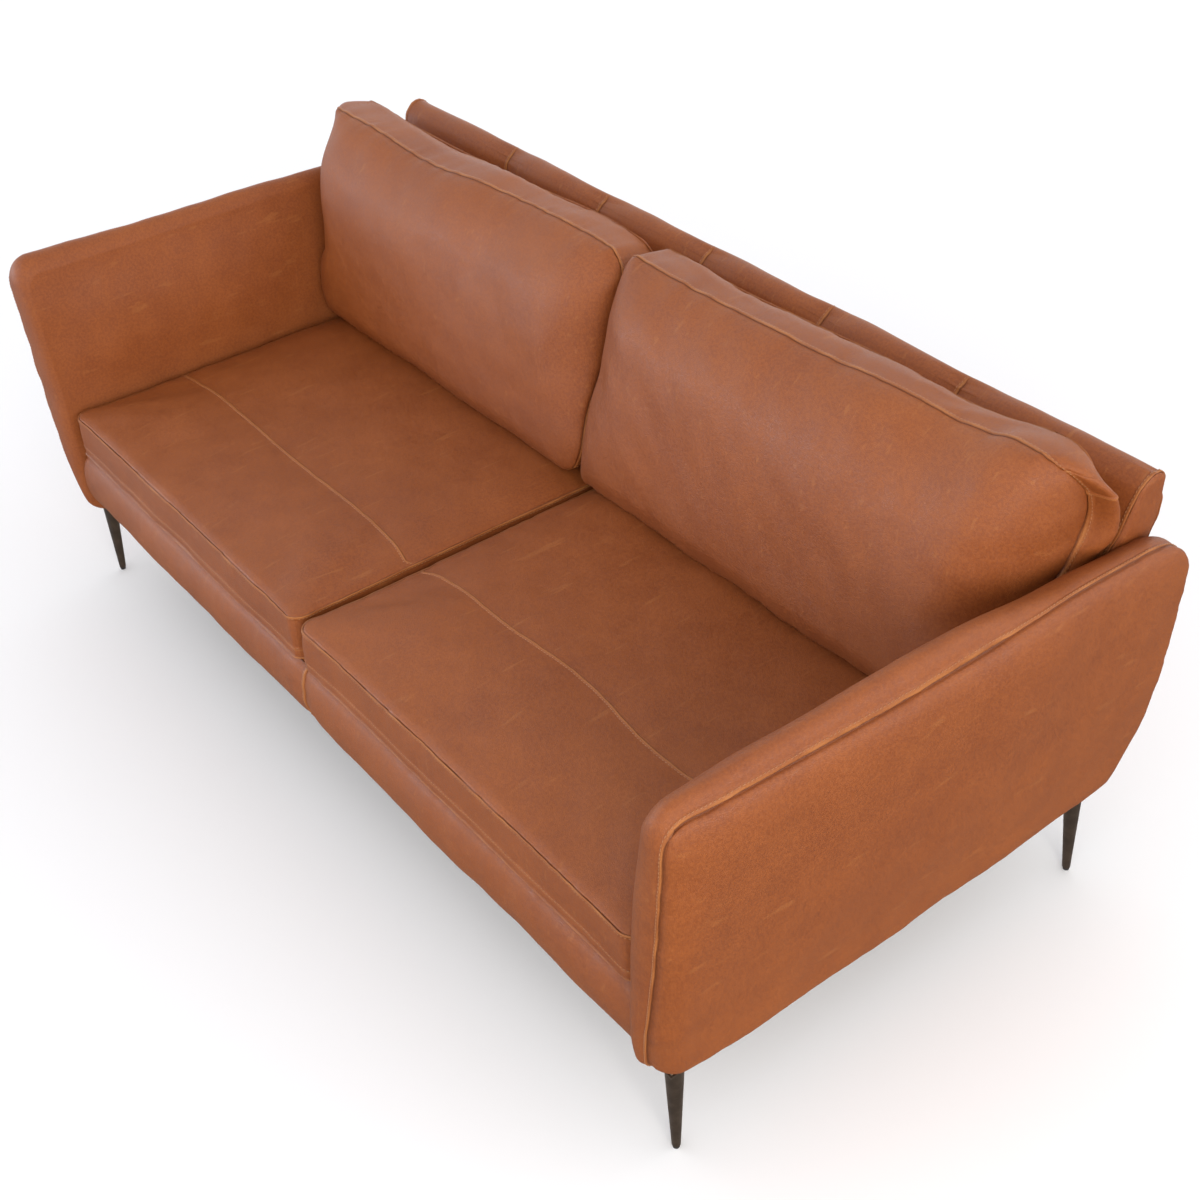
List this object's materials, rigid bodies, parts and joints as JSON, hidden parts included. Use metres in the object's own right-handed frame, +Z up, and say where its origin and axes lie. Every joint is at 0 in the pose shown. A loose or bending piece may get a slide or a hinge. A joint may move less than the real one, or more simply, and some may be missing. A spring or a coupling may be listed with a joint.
{
  "type": "sofa",
  "caption": "Leather sofa with flared slim arms, loose seat and back cushions, a channelled low back and slender tapered metal legs.",
  "frame": {"origin": "on the floor, under the middle of the sofa", "axes": "+X along the sofa, to the right of a person facing its front; +Y from front to back; +Z up"},
  "size_m": [2.0366, 0.993, 0.8558],
  "materials": {
    "leather": "satin",
    "legs": "satin",
    "glides": "matte",
    "timber": "matte",
    "plywood": "matte",
    "foam": "matte",
    "wadding": "matte",
    "insert": "matte",
    "springs": "satin",
    "fixings": "satin",
    "webbing": "matte",
    "felt": "matte",
    "lining": "matte",
    "zip_tape": "matte",
    "zip_pull": "satin"
  },
  "bodies": {
    "sofa_frame": {"arm_bolts": "fixings", "arm_cover_inner_left": "leather", "arm_cover_inner_right": "leather", "arm_cover_outer_left": "leather", "arm_cover_outer_right": "leather", "arm_padding_left": "foam", "arm_padding_right": "foam", "arm_panel_left": "plywood", "arm_panel_right": "plywood", "arm_rail_left": "timber", "arm_rail_right": "timber", "back_cover_ends": "leather", "back_cover_front": "leather", "back_cover_rear": "leather", "back_padding": "foam", "back_rail": "timber", "back_ribs": "plywood", "back_screws": "fixings", "back_top_rail": "timber", "back_webbing": "webbing", "border_cover_left": "leather", "border_cover_right": "leather", "border_padding": "foam", "centre_rail": "timber", "corner_blocks": "timber", "deck_cloth": "lining", "dust_cover": "lining", "front_rail": "timber", "leg_front_left": "legs", "leg_front_right": "legs", "leg_glides": "glides", "leg_rear_left": "legs", "leg_rear_right": "legs", "leg_screws": "fixings", "seat_springs_left": "springs", "seat_springs_right": "springs", "side_rail_left": "timber", "side_rail_right": "timber", "spring_clips": "fixings", "spring_felt": "felt", "spring_rail": "timber"},
    "seat_cushion_left": {"seat_cushion_cover_left": "leather", "seat_cushion_wadding_left": "wadding", "seat_cushion_foam_left": "foam", "seat_cushion_zip_left": "zip_tape"},
    "back_cushion_left": {"back_cushion_cover_left": "leather", "back_cushion_insert_left": "insert", "back_cushion_zip_left": "zip_tape"},
    "seat_zip_pull_left": {"seat_cushion_zip_pull_left": "zip_pull"},
    "back_zip_pull_left": {"back_cushion_zip_pull_left": "zip_pull"},
    "seat_cushion_right": {"seat_cushion_cover_right": "leather", "seat_cushion_wadding_right": "wadding", "seat_cushion_foam_right": "foam", "seat_cushion_zip_right": "zip_tape"},
    "back_cushion_right": {"back_cushion_cover_right": "leather", "back_cushion_insert_right": "insert", "back_cushion_zip_right": "zip_tape"},
    "seat_zip_pull_right": {"seat_cushion_zip_pull_right": "zip_pull"},
    "back_zip_pull_right": {"back_cushion_zip_pull_right": "zip_pull"}
  },
  "joints": [
    {"name": "seat_cushion_left_pull_out", "type": "slide", "parent": "sofa_frame", "child": "seat_cushion_left", "axis": [0, -1, 0], "range_m": [0, 0.7]},
    {"name": "back_cushion_left_lift", "type": "slide", "parent": "sofa_frame", "child": "back_cushion_left", "axis": [0, 0, 1], "range_m": [0, 0.45]},
    {"name": "seat_zip_left_run", "type": "slide", "parent": "seat_cushion_left", "child": "seat_zip_pull_left", "axis": [1, 0, 0], "range_m": [0, 0.63]},
    {"name": "back_zip_left_run", "type": "slide", "parent": "back_cushion_left", "child": "back_zip_pull_left", "axis": [1, 0, 0], "range_m": [0, 0.63]},
    {"name": "seat_cushion_right_pull_out", "type": "slide", "parent": "sofa_frame", "child": "seat_cushion_right", "axis": [0, -1, 0], "range_m": [0, 0.7]},
    {"name": "back_cushion_right_lift", "type": "slide", "parent": "sofa_frame", "child": "back_cushion_right", "axis": [0, 0, 1], "range_m": [0, 0.45]},
    {"name": "seat_zip_right_run", "type": "slide", "parent": "seat_cushion_right", "child": "seat_zip_pull_right", "axis": [-1, 0, 0], "range_m": [0, 0.63]},
    {"name": "back_zip_right_run", "type": "slide", "parent": "back_cushion_right", "child": "back_zip_pull_right", "axis": [-1, 0, 0], "range_m": [0, 0.63]}
  ]
}
